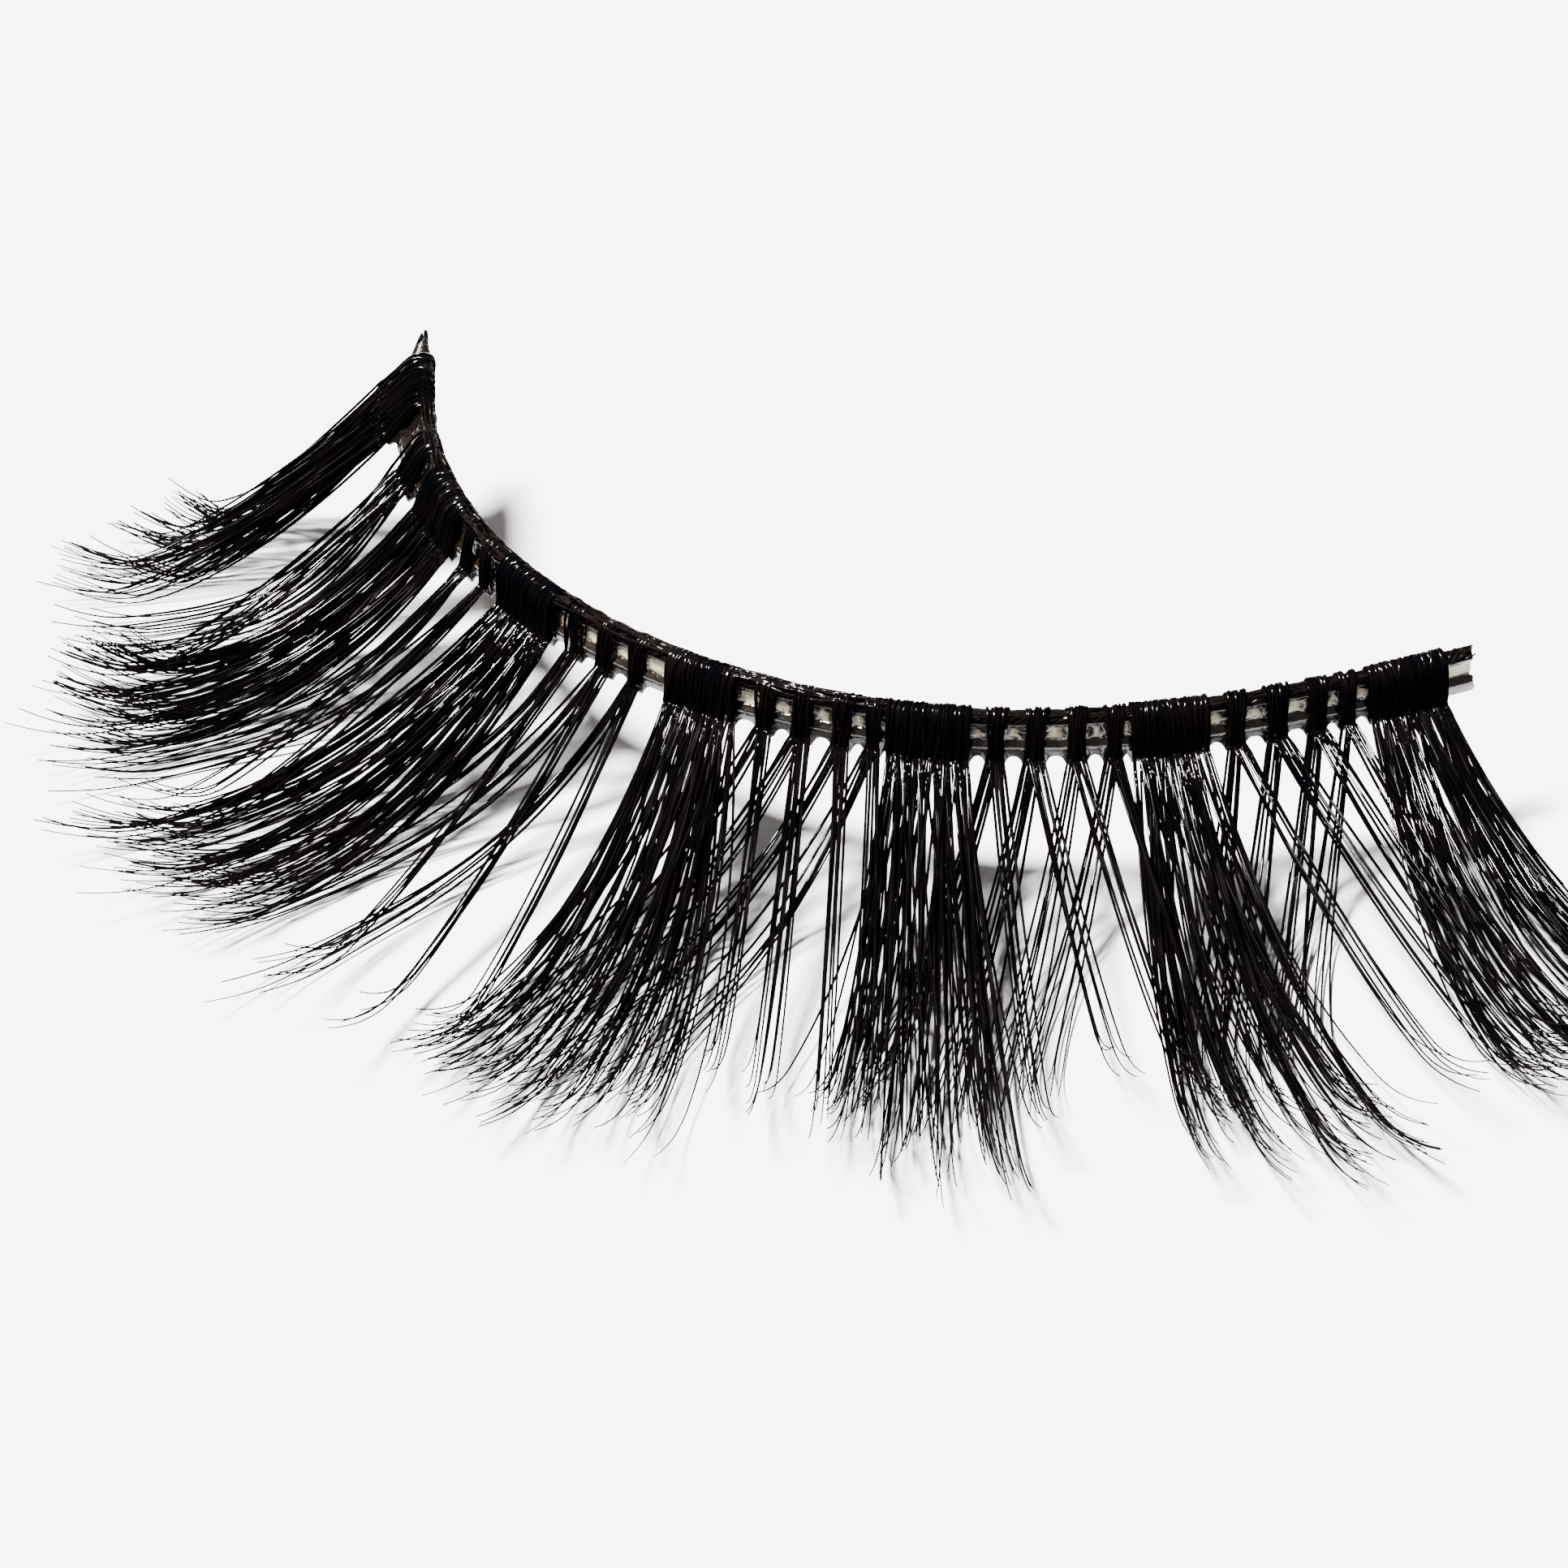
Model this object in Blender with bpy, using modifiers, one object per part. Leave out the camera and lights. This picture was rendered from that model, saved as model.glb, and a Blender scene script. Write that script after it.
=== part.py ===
"""A false eyelash strip, standing on the bellies of its lashes.

Metres, +Z up. The band bends round the eyelid and is open towards +Y. It is two threads, one over
the other, with a film of dried glue between them. Dense clusters and small bunches of lashes hook
over the upper thread, run down outside the film, and fan out and down to the surface.

Places on the band are arc lengths in millimetres, from the band's foremost point, with the right
end positive. Angles are in degrees from straight out of the band, positive towards the right end.
"""

import math
from typing import NamedTuple

import bmesh
import bpy
import numpy as np

MM = 0.001

# The band's plan, as (length, radius) from its foremost point: an even bend on the left that ends
# straight, and an easing bend on the right. The facet at the foremost point faces straight back.
STATION = 0.85
FRONT_RADIUS = 13.0
LEFT_BENDS = ((FRONT_RADIUS * math.pi / 2, FRONT_RADIUS), (5.0, None))
RIGHT_BENDS = ((STATION / 2, FRONT_RADIUS), (3.6, 16.0), (10.0, 30.0))
BAND_LEFT = -23.0
BAND_RIGHT = 10.1

# The left end leans outwards, about its upper thread
LEAN_FROM = -13.5
LEAN_FULL = -20.5
LEAN_MOST = math.radians(42.0)

# The threads and the film, from the top down
BAND_TOP = 4.4
UPPER_RADIUS = 0.13
LOWER_RADIUS = 0.12
THREAD_SPACING = 0.75
FIT_GAP = 0.02
FILM_THICKNESS = 0.1
FILM_END = 0.35
POINT_LENGTH = 1.5
POINT_SHARE = 0.3
POINT_SPREAD = 0.15
FILM_START = 0.45

UPPER_HEIGHT = BAND_TOP - UPPER_RADIUS
LOWER_HEIGHT = UPPER_HEIGHT - THREAD_SPACING

# A root block: a slab outside the threads with a hook over the upper one
ROOT_DROP = 0.1
HOOK_RISE = 0.14
HOOK_REACH = 0.1
HOOK_CHAMFER = 0.09
CLUSTER_DEPTH = 0.26
BUNCH_DEPTH = 0.18

ROOT_BOTTOM = LOWER_HEIGHT - LOWER_RADIUS - ROOT_DROP
SLAB_INNER = UPPER_RADIUS + FIT_GAP

# Along a lash: 0 at the root and 1 at the tip
BELLY_AT = 0.8
CLUSTER_RINGS = (0.03, 0.08, 0.16, 0.26, 0.38, 0.5, 0.62, 0.74, 0.82, 0.91, 1.0)
BUNCH_RINGS = (0.03, 0.09, 0.2, 0.34, 0.5, 0.66, 0.8, 0.9, 1.0)
CURL_POWER = 1.6
TAPER_FROM = 0.35
TAPER_POWER = 1.25
TIP_SHARE = 0.07
TIP_THICKNESS = 0.06
LOCK_FILL = 0.86
RAGGED_REACH = (0.0, -0.8, 0.3, -0.3, 0.5, -0.6, 0.2)
SLOPE_STEP = 0.01
SHARP_ANGLE = math.radians(40.0)


class Layer(NamedTuple):
    """How a lash comes down: its belly's height, how steeply it starts, and how far its tip rises."""

    belly: float
    steepness: float
    tip_rise: float


LEFT_END = Layer(belly=0.0, steepness=1.4, tip_rise=0.5)
RIGHT_END = Layer(belly=0.0, steepness=2.2, tip_rise=0.9)
LOWER = Layer(belly=0.0, steepness=3.0, tip_rise=0.5)
MIDDLE = Layer(belly=0.24, steepness=2.2, tip_rise=0.8)
UPPER = Layer(belly=0.62, steepness=1.5, tip_rise=0.9)


class Cluster(NamedTuple):
    """A dense cluster: a fan of locks from its first, leftmost one to its last."""

    place: float
    width: float
    locks: int
    first_angle: float
    last_angle: float
    first_reach: float
    last_reach: float
    bend: float
    layer: Layer


CLUSTERS = (
    Cluster(-20.7, 2.1, 7, -6.0, 10.0, 5.2, 7.6, -4.0, LEFT_END),
    Cluster(-16.2, 1.8, 7, -6.0, 7.0, 8.4, 9.6, -8.0, MIDDLE),
    Cluster(-12.3, 1.85, 7, -8.0, 10.0, 11.8, 10.6, -12.0, MIDDLE),
    Cluster(-7.2, 1.65, 7, 3.0, 22.0, 13.2, 13.8, -12.0, MIDDLE),
    Cluster(-2.05, 1.75, 7, 1.0, 14.0, 12.4, 14.0, 0.0, MIDDLE),
    Cluster(3.1, 1.65, 7, -5.0, 10.0, 12.6, 13.8, 8.0, MIDDLE),
    Cluster(8.45, 1.75, 7, -4.0, 16.0, 12.4, 11.6, 14.0, RIGHT_END),
)


class Bunch(NamedTuple):
    """A small bunch: one lock swept to the left under its neighbours and one to the right."""

    place: float
    width: float
    left_angle: float
    right_angle: float
    left_reach: float
    right_reach: float


BUNCHES = (
    Bunch(-18.20, 0.46, 2.0, 18.0, 7.8, 7.6),
    Bunch(-14.65, 0.38, -6.0, 14.0, 9.6, 9.8),
    Bunch(-13.90, 0.36, -10.0, 14.0, 10.2, 11.0),
    Bunch(-10.68, 0.42, -18.0, 14.0, 10.8, 12.4),
    Bunch(-9.77, 0.44, -14.0, 16.0, 11.6, 13.0),
    Bunch(-8.92, 0.38, -9.0, 18.0, 12.4, 13.2),
    Bunch(-5.67, 0.40, -16.0, 18.0, 11.6, 11.4),
    Bunch(-4.83, 0.48, -18.0, 16.0, 11.6, 12.0),
    Bunch(-3.94, 0.42, -20.0, 15.0, 11.6, 12.6),
    Bunch(-3.23, 0.34, -18.0, 13.0, 11.0, 12.6),
    Bunch(-0.63, 0.38, -16.0, 8.0, 9.8, 11.4),
    Bunch(0.20, 0.46, -12.0, 11.0, 10.6, 10.4),
    Bunch(1.10, 0.42, -14.0, 11.0, 10.2, 10.8),
    Bunch(1.88, 0.38, -18.0, 8.0, 9.6, 11.8),
    Bunch(4.53, 0.42, -20.0, 11.0, 9.8, 12.0),
    Bunch(5.44, 0.46, -22.0, 12.0, 9.6, 13.2),
    Bunch(6.35, 0.42, -24.0, 10.0, 9.0, 12.2),
    Bunch(7.05, 0.34, -26.0, 8.0, 9.0, 10.4),
)


def walk(distance, bends):
    """The plan place and turning of a point this far along a run of arcs and straights."""
    x, y, turn = 0.0, 0.0, 0.0
    for length, radius in bends:
        step = min(distance, length)
        distance -= step
        if radius is None:
            x += step * math.cos(turn)
            y += step * math.sin(turn)
            continue
        turned = turn + step / radius
        x += radius * (math.sin(turned) - math.sin(turn))
        y += radius * (math.cos(turn) - math.cos(turned))
        turn = turned
    return x, y, turn


def band_frame(place):
    """The band's plan point there, and the heading in radians of its outward side."""
    side = -1.0 if place < 0 else 1.0
    x, y, turn = walk(abs(place), LEFT_BENDS if place < 0 else RIGHT_BENDS)
    return np.array([side * x, y - FRONT_RADIUS]), side * turn - math.pi / 2


def band_point(place, outward, height):
    """A point near the band, this far outside it and at this height before the band leans."""
    plan, heading = band_frame(place)
    share = min(1.0, max(0.0, (LEAN_FROM - place) / (LEAN_FROM - LEAN_FULL)))
    lean = LEAN_MOST * share
    up = height - UPPER_HEIGHT
    out = outward * math.cos(lean) - up * math.sin(lean)
    up = up * math.cos(lean) + outward * math.sin(lean)
    plan = plan + out * np.array([math.cos(heading), math.sin(heading)])
    return np.array([plan[0], plan[1], UPPER_HEIGHT + up])


def stations(left, right):
    """Places a station apart, with one facet centred on the foremost point, and both ends."""
    inner = np.arange(math.ceil(left / STATION - 0.5), math.floor(right / STATION - 0.5) + 1)
    inner = (inner + 0.5) * STATION
    inner = inner[(inner > left + STATION / 3) & (inner < right - STATION / 3)]
    return [left, *inner, right]


def material(name, colour, roughness, coat=0.0, alpha=1.0):
    """A plain Principled material."""
    made = bpy.data.materials.new(name)
    made.use_nodes = True
    shader = made.node_tree.nodes["Principled BSDF"]
    shader.inputs["Base Color"].default_value = (*colour, 1.0)
    shader.inputs["Roughness"].default_value = roughness
    shader.inputs["Metallic"].default_value = 0.0
    shader.inputs["Coat Weight"].default_value = coat
    shader.inputs["Alpha"].default_value = alpha
    return made


def add_object(name, data, finish, collection, parent):
    """Put a mesh or a curve in the strip's collection, with its material."""
    data.materials.append(finish)
    made = bpy.data.objects.new(name, data)
    made.parent = parent
    collection.objects.link(made)
    return made


def growth(place, first_share):
    """The share of its full value that something has there, from the band's left tip inwards."""
    return min(1.0, first_share + (1.0 - first_share) * (place - BAND_LEFT) / POINT_LENGTH)


def thread_height(place, height):
    """The height of a thread's middle there. The threads draw together towards the left tip."""
    return UPPER_HEIGHT - (UPPER_HEIGHT - height) * growth(place, POINT_SPREAD)


def thread(name, height, radius):
    """One of the band's threads, as a curve with round sides that ends in a point on the left."""
    places = stations(BAND_LEFT, BAND_RIGHT)
    curve = bpy.data.curves.new(name, "CURVE")
    curve.dimensions = "3D"
    curve.twist_mode = "Z_UP"
    curve.bevel_depth = radius * MM
    curve.bevel_resolution = 2
    curve.use_fill_caps = True
    spline = curve.splines.new("POLY")
    spline.points.add(len(places) - 1)
    for point, place in zip(spline.points, places):
        x, y, z = band_point(place, 0.0, thread_height(place, height)) * MM
        point.co = (x, y, z, 1.0)
        point.radius = growth(place, POINT_SHARE)
    return curve


def glue_film(name):
    """The film between the threads: an upright ribbon that Solidify gives its thickness."""
    rows = []
    ribbon = bmesh.new()
    for place in stations(BAND_LEFT + FILM_START, BAND_RIGHT - FILM_END):
        size = growth(place, POINT_SHARE)
        low = thread_height(place, LOWER_HEIGHT) + LOWER_RADIUS * size + FIT_GAP
        high = UPPER_HEIGHT - UPPER_RADIUS * size - FIT_GAP
        rows.append([ribbon.verts.new(band_point(place, 0.0, z) * MM) for z in (low, high)])
    for left, right in zip(rows, rows[1:]):
        ribbon.faces.new((left[0], right[0], right[1], left[1]))
    mesh = bpy.data.meshes.new(name)
    ribbon.to_mesh(mesh)
    ribbon.free()
    return mesh


def root_outline(depth):
    """The root block's section as (outward, height) pairs. Its first side is the open bottom."""
    outer = SLAB_INNER + depth
    top = BAND_TOP + HOOK_RISE
    return (
        (SLAB_INNER, ROOT_BOTTOM),
        (outer, ROOT_BOTTOM),
        (outer, top - HOOK_CHAMFER),
        (outer - HOOK_CHAMFER, top),
        (-HOOK_REACH, top),
        (-HOOK_REACH, BAND_TOP + FIT_GAP),
        (SLAB_INNER, BAND_TOP + FIT_GAP),
    )


def add_root(work, edges, depth):
    """The root block over these places, open below, with its bottom corners at each place."""
    outline = root_outline(depth)
    rows = []
    for place in edges:
        rows.append([work.verts.new(band_point(place, out, z) * MM) for out, z in outline])
    for left, right in zip(rows, rows[1:]):
        for i in range(1, len(outline)):
            j = (i + 1) % len(outline)
            work.faces.new((left[i], left[j], right[j], right[i]))
    work.faces.new(rows[0])
    work.faces.new(rows[-1])
    return [(row[0], row[1]) for row in rows]


def lash_height(along, root_height, layer):
    """The height of a lash's underside: down in a curve to its belly, then up to its tip."""
    if along < BELLY_AT:
        fall = (1.0 - along / BELLY_AT) ** layer.steepness
        return layer.belly + (root_height - layer.belly) * fall
    return layer.belly + layer.tip_rise * ((along - BELLY_AT) / (1.0 - BELLY_AT)) ** CURL_POWER


def lash_plan(root, heading, bend, reach, along):
    """The plan place on a lash that leaves its root in an arc which turns by the bend."""
    half_turn = bend * along / 2
    direction = heading - bend / 2 + half_turn
    length = reach * along * float(np.sinc(half_turn / math.pi))
    return root + length * np.array([math.cos(direction), math.sin(direction)])


def taper(along):
    """A lock's share of its full width: 1 near the root, falling to a fine tip."""
    past = max(0.0, (along - TAPER_FROM) / (1.0 - TAPER_FROM))
    return 1.0 - (1.0 - TIP_SHARE) * past**TAPER_POWER


def add_lock(work, left, right, heading, bend, reach, spread, depth, layer, rings):
    """One pointed lock, grown from the cell between two corner pairs of the root's bottom.

    The spread is the angle to the next lock, which says how fast the full width grows.
    """
    corners = (left[0], right[0], right[1], left[1])
    root_x, root_y, root_height = np.mean([np.array(v.co) for v in corners], axis=0) / MM
    root = np.array([root_x, root_y])
    cell = (left[0].co - right[0].co).length / MM
    previous = corners
    for along in rings:
        plan = lash_plan(root, heading, bend, reach, along)
        before = lash_plan(root, heading, bend, reach, along - SLOPE_STEP)
        height = lash_height(along, root_height, layer)
        rise = height - lash_height(along - SLOPE_STEP, root_height, layer)
        run = plan - before
        length = float(np.hypot(*run))
        forward = run / length
        slope = math.atan2(rise, length)
        sideways = np.array([forward[1], -forward[0], 0.0])
        upward = np.array([-forward[0] * math.sin(slope), -forward[1] * math.sin(slope), math.cos(slope)])
        half_width = LOCK_FILL * (cell + reach * along * spread) * taper(along) / 2
        half_depth = (depth + (TIP_THICKNESS - depth) * along) / 2
        centre = np.array([plan[0], plan[1], height + half_depth])
        ring = []
        for across, up in ((1, -1), (-1, -1), (-1, 1), (1, 1)):
            corner = centre + across * half_width * sideways + up * half_depth * upward
            ring.append(work.verts.new(corner * MM))
        for i in range(4):
            j = (i + 1) % 4
            work.faces.new((previous[i], previous[j], ring[j], ring[i]))
        previous = ring
    work.faces.new(previous)


def finished_mesh(name, work):
    """The worked faces as a mesh with its faces out and its round stretches smooth."""
    bmesh.ops.recalc_face_normals(work, faces=work.faces)
    mesh = bpy.data.meshes.new(name)
    work.to_mesh(mesh)
    work.free()
    mesh.shade_smooth()
    mesh.set_sharp_from_angle(angle=SHARP_ANGLE)
    return mesh


def cluster_mesh(name, cluster):
    """A dense cluster: its root block and the fan of locks fused to it."""
    work = bmesh.new()
    half = cluster.width / 2
    edges = np.linspace(cluster.place - half, cluster.place + half, cluster.locks + 1)
    corners = add_root(work, edges, CLUSTER_DEPTH)
    _, straight_out = band_frame(cluster.place)
    angles = np.radians(np.linspace(cluster.first_angle, cluster.last_angle, cluster.locks))
    reaches = np.linspace(cluster.first_reach, cluster.last_reach, cluster.locks)
    spread = angles[1] - angles[0]
    bend = math.radians(cluster.bend)
    for i in range(cluster.locks):
        reach = reaches[i] + RAGGED_REACH[i % len(RAGGED_REACH)]
        heading = straight_out + angles[i]
        cell = (corners[i], corners[i + 1])
        add_lock(work, *cell, heading, bend, reach, spread, CLUSTER_DEPTH, cluster.layer, CLUSTER_RINGS)
    return finished_mesh(name, work)


def bunch_mesh(name, bunch):
    """A small bunch: its root block, a left lock that passes low and a right lock that passes high."""
    work = bmesh.new()
    half = bunch.width / 2
    corners = add_root(work, (bunch.place - half, bunch.place, bunch.place + half), BUNCH_DEPTH)
    _, straight_out = band_frame(bunch.place)
    locks = (
        (corners[0:2], bunch.left_angle, bunch.left_reach, LOWER),
        (corners[1:3], bunch.right_angle, bunch.right_reach, UPPER),
    )
    for cell, angle, reach, layer in locks:
        heading = straight_out + math.radians(angle)
        add_lock(work, *cell, heading, 0.0, reach, 0.0, BUNCH_DEPTH, layer, BUNCH_RINGS)
    return finished_mesh(name, work)


def stand_at_origin(pieces, parent):
    """Move the whole strip so that the origin is under the middle of its box."""
    bpy.context.view_layer.update()
    graph = bpy.context.evaluated_depsgraph_get()
    points = []
    for piece in pieces:
        shown = piece.evaluated_get(graph)
        mesh = shown.to_mesh()
        flat = np.empty(len(mesh.vertices) * 3)
        mesh.vertices.foreach_get("co", flat)
        points.append(flat.reshape(-1, 3))
        shown.to_mesh_clear()
    points = np.concatenate(points)
    low, high = points.min(axis=0), points.max(axis=0)
    parent.location = (-(low[0] + high[0]) / 2, -(low[1] + high[1]) / 2, -low[2])


def build():
    """Build the strip's pieces and set them on the floor."""
    for old in list(bpy.data.objects):
        bpy.data.objects.remove(old)
    collection = bpy.data.collections.new("false_eyelash_strip")
    bpy.context.scene.collection.children.link(collection)
    strip = bpy.data.objects.new("strip_frame", None)
    collection.objects.link(strip)

    fibre = material("black_fibre", (0.004, 0.004, 0.005), 0.32, coat=0.2)
    yarn = material("band_thread", (0.012, 0.008, 0.007), 0.45)
    glue = material("clear_glue", (0.56, 0.48, 0.36), 0.15, coat=0.6, alpha=0.75)

    upper = thread("upper_thread", UPPER_HEIGHT, UPPER_RADIUS)
    lower = thread("lower_thread", LOWER_HEIGHT, LOWER_RADIUS)
    film = add_object("glue_film", glue_film("glue_film"), glue, collection, strip)
    thickness = film.modifiers.new("thickness", "SOLIDIFY")
    thickness.thickness = FILM_THICKNESS * MM
    thickness.offset = 0.0
    pieces = [
        add_object("upper_thread", upper, yarn, collection, strip),
        add_object("lower_thread", lower, yarn, collection, strip),
        film,
    ]
    for number, cluster in enumerate(CLUSTERS, start=1):
        name = f"dense_cluster_{number}"
        pieces.append(add_object(name, cluster_mesh(name, cluster), fibre, collection, strip))
    for number, bunch in enumerate(BUNCHES, start=1):
        name = f"small_bunch_{number:02d}"
        pieces.append(add_object(name, bunch_mesh(name, bunch), fibre, collection, strip))
    stand_at_origin(pieces, strip)


build()
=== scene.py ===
"""Looks of a false eyelash strip: single fibres, twisted threads, dried glue, floor, light and camera.

Metres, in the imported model's frame. The tables here are in millimetres and degrees. Places on the
band are arc lengths from its foremost point, with the right end positive, and angles are from
straight out of the band, positive towards the right end.
"""

import logging
import math
from dataclasses import dataclass, fields
from enum import Enum
from typing import Any, Sequence

import bpy
import numpy as np
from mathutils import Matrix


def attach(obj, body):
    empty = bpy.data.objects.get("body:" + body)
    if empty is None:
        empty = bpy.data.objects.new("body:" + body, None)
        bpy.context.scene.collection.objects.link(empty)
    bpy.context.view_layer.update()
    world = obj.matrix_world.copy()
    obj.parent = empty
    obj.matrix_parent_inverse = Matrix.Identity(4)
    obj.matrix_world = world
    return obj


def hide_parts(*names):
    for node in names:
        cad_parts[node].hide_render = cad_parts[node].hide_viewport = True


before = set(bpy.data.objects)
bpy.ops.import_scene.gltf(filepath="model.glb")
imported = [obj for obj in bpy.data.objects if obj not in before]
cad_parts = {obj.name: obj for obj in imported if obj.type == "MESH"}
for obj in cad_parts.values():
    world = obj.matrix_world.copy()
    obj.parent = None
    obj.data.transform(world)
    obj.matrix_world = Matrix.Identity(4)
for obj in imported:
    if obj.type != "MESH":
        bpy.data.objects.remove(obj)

logging.basicConfig(level=logging.INFO, format="%(message)s")
log = logging.getLogger("eyelash_strip")

Array = np.ndarray
Rng = np.random.Generator
Material = bpy.types.Material
Colour = tuple[float, float, float]
Span = tuple[float, float]

MM = 0.001
TINY = 1e-12
UPRIGHT = np.array([0.0, 0.0, 1.0])

# The photograph's framing: its side in pixels, its scale, and the point at its middle
IMAGE_SIDE = 1932
PIXELS_PER_MM = 57.0
VIEW_CENTRE = (-2.4855, 3.3525, 0.0)
VIEW_ELEVATION = 33.0
CAMERA_DISTANCE = 0.6
SENSOR_WIDTH = 36.0

# The band: its front bend's plan centre and radius, its ends, heights, lean and left point
CIRCLE_CENTRE = (2.67027, 12.39011)
FRONT_RADIUS = 13.0
BAND_LEFT = -23.0
BAND_RIGHT = 10.1
BAND_TOP = 4.4
UPPER_RADIUS = 0.13
LOWER_RADIUS = 0.12
UPPER_HEIGHT = BAND_TOP - UPPER_RADIUS
THREAD_GAP = 0.75
LOWER_HEIGHT = UPPER_HEIGHT - THREAD_GAP
ROOT_DROP = 0.1
ROOT_BOTTOM = LOWER_HEIGHT - LOWER_RADIUS - ROOT_DROP
LEAN_FROM = -13.5
LEAN_FULL = -20.5
LEAN_MOST = math.radians(42.0)
POINT_LENGTH = 1.5

# Where a lash's belly is on the way to its tip, and how its curl starts there
BELLY_AT = 0.8
CURL_POWER = 1.6


class Slot(Enum):
    """The record's material slots."""

    FIBRE = "fibre"
    THREAD = "thread"
    GLUE = "glue"


@dataclass(frozen=True)
class Bend:
    """One stretch of the band's plan: an arc, or a straight where it has no radius."""

    length: float
    radius: float | None


LEFT_BENDS = (Bend(FRONT_RADIUS * math.pi / 2, FRONT_RADIUS), Bend(5.0, None))
RIGHT_BENDS = (Bend(0.425, FRONT_RADIUS), Bend(3.6, 16.0), Bend(10.0, 30.0))


@dataclass(frozen=True)
class Layer:
    """How a lash comes down: its belly's height, how steeply it starts, and how far its tip rises."""

    belly: float
    steepness: float
    tip_rise: float


LEFT_END = Layer(0.0, 1.4, 0.5)
RIGHT_END = Layer(0.0, 2.2, 0.9)
LOWER = Layer(0.0, 3.0, 0.5)
MIDDLE = Layer(0.24, 2.2, 0.8)
UPPER = Layer(0.62, 1.5, 0.9)


class Band:
    """The band's path in space, with its lean at the left end."""

    def plan(self, place: Array) -> tuple[Array, Array]:
        """Plan points of places on the band, and the headings of its outward side.

        The two sides are walked apart and added, since a place lies on one side only and walks no
        distance on the other. Along an arc of radius r that turns from a to b, x grows by
        r (sin b - sin a) and y by r (cos a - cos b).

        Args:
            place: Places in millimetres, of any shape.

        Returns:
            Points with a last axis of two, and headings in radians.
        """
        place = np.asarray(place, dtype=float)
        left = self._walk(np.maximum(-place, 0.0), LEFT_BENDS)
        right = self._walk(np.maximum(place, 0.0), RIGHT_BENDS)
        x = right[0] - left[0] + CIRCLE_CENTRE[0]
        y = right[1] + left[1] - FRONT_RADIUS + CIRCLE_CENTRE[1]
        return np.stack([x, y], axis=-1), right[2] - left[2] - math.pi / 2

    def _walk(self, distance: Array, bends: Sequence[Bend]) -> tuple[Array, Array, Array]:
        """Walk along arcs and straights from the origin.

        Args:
            distance: How far each point goes, in millimetres.
            bends: The stretches, in order.

        Returns:
            The x, the y and the turning of each point.
        """
        x, y, turn = (np.zeros_like(distance) for _ in range(3))
        for bend in bends:
            step = np.minimum(distance, bend.length)
            distance = distance - step
            if bend.radius is None:
                x = x + step * np.cos(turn)
                y = y + step * np.sin(turn)
                continue
            turned = turn + step / bend.radius
            x = x + bend.radius * (np.sin(turned) - np.sin(turn))
            y = y + bend.radius * (np.cos(turn) - np.cos(turned))
            turn = turned
        return x, y, turn

    def point(self, place: Array, outward: Array, height: Array) -> Array:
        """Points near the band, turned about the upper thread where the band leans.

        Args:
            place: Places on the band.
            outward: How far outside the threads' middles each point is.
            height: Its height before the band leans.

        Returns:
            Points in millimetres, with a last axis of three.
        """
        plan, heading = self.plan(place)
        lean = LEAN_MOST * np.clip((LEAN_FROM - place) / (LEAN_FROM - LEAN_FULL), 0.0, 1.0)
        rise = height - UPPER_HEIGHT
        out = outward * np.cos(lean) - rise * np.sin(lean)
        up = rise * np.cos(lean) + outward * np.sin(lean)
        x = plan[..., 0] + out * np.cos(heading)
        y = plan[..., 1] + out * np.sin(heading)
        return np.stack([x, y, UPPER_HEIGHT + up], axis=-1)

    def tangent(self, place: Array) -> Array:
        """Unit vectors along the band towards its right end, with a last axis of three."""
        _, heading = self.plan(place)
        return np.stack([-np.sin(heading), np.cos(heading), np.zeros_like(heading)], axis=-1)

    def growth(self, place: Array, first_share: float) -> Array:
        """The share of its full value that something has there, from the band's left tip inwards."""
        return np.minimum(1.0, first_share + (1.0 - first_share) * (place - BAND_LEFT) / POINT_LENGTH)


BAND = Band()


def unit(vectors: Array) -> Array:
    """The vectors along the last axis, each made one long."""
    return vectors / np.maximum(np.linalg.norm(vectors, axis=-1, keepdims=True), TINY)


def between(span: Span, share: Array) -> Array:
    """The values at these shares of the way along the span."""
    return span[0] + (span[1] - span[0]) * share


def towards(heading: Array) -> Array:
    """Unit vectors in plan at these headings."""
    return np.stack([np.cos(heading), np.sin(heading)], axis=-1)


def within(values: Array, span: Span) -> Array:
    """The share of the way along the span, held between 0 and 1."""
    return np.clip((values - span[0]) / (span[1] - span[0]), 0.0, 1.0)


def cut_corners(rows: Array) -> Array:
    """Round each polyline by replacing every side with its quarter and three-quarter points.

    Args:
        rows: Polylines on the second axis, with any values on the last.

    Returns:
        The rounder polylines, which keep their two ends.
    """
    ahead = 0.75 * rows[:, :-1] + 0.25 * rows[:, 1:]
    behind = 0.25 * rows[:, :-1] + 0.75 * rows[:, 1:]
    inner = np.stack([ahead, behind], axis=2).reshape(rows.shape[0], -1, rows.shape[2])
    return np.concatenate([rows[:, :1], inner, rows[:, -1:]], axis=1)


def smooth_noise(rng: Rng, shape: tuple[int, ...], step: int) -> Array:
    """Noise from -1 to 1 that runs smoothly along the last axis.

    Random knots a few steps apart are joined by cosine curves.

    Args:
        rng: The seeded source.
        shape: The result's shape.
        step: How many samples lie between two knots.

    Returns:
        An array of that shape.
    """
    knots = rng.uniform(-1.0, 1.0, shape[:-1] + (shape[-1] // step + 2,))
    at = np.arange(shape[-1]) / step
    whole = at.astype(int)
    share = (1.0 - np.cos(math.pi * (at - whole))) / 2.0
    return knots[..., whole] * (1.0 - share) + knots[..., whole + 1] * share


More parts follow.
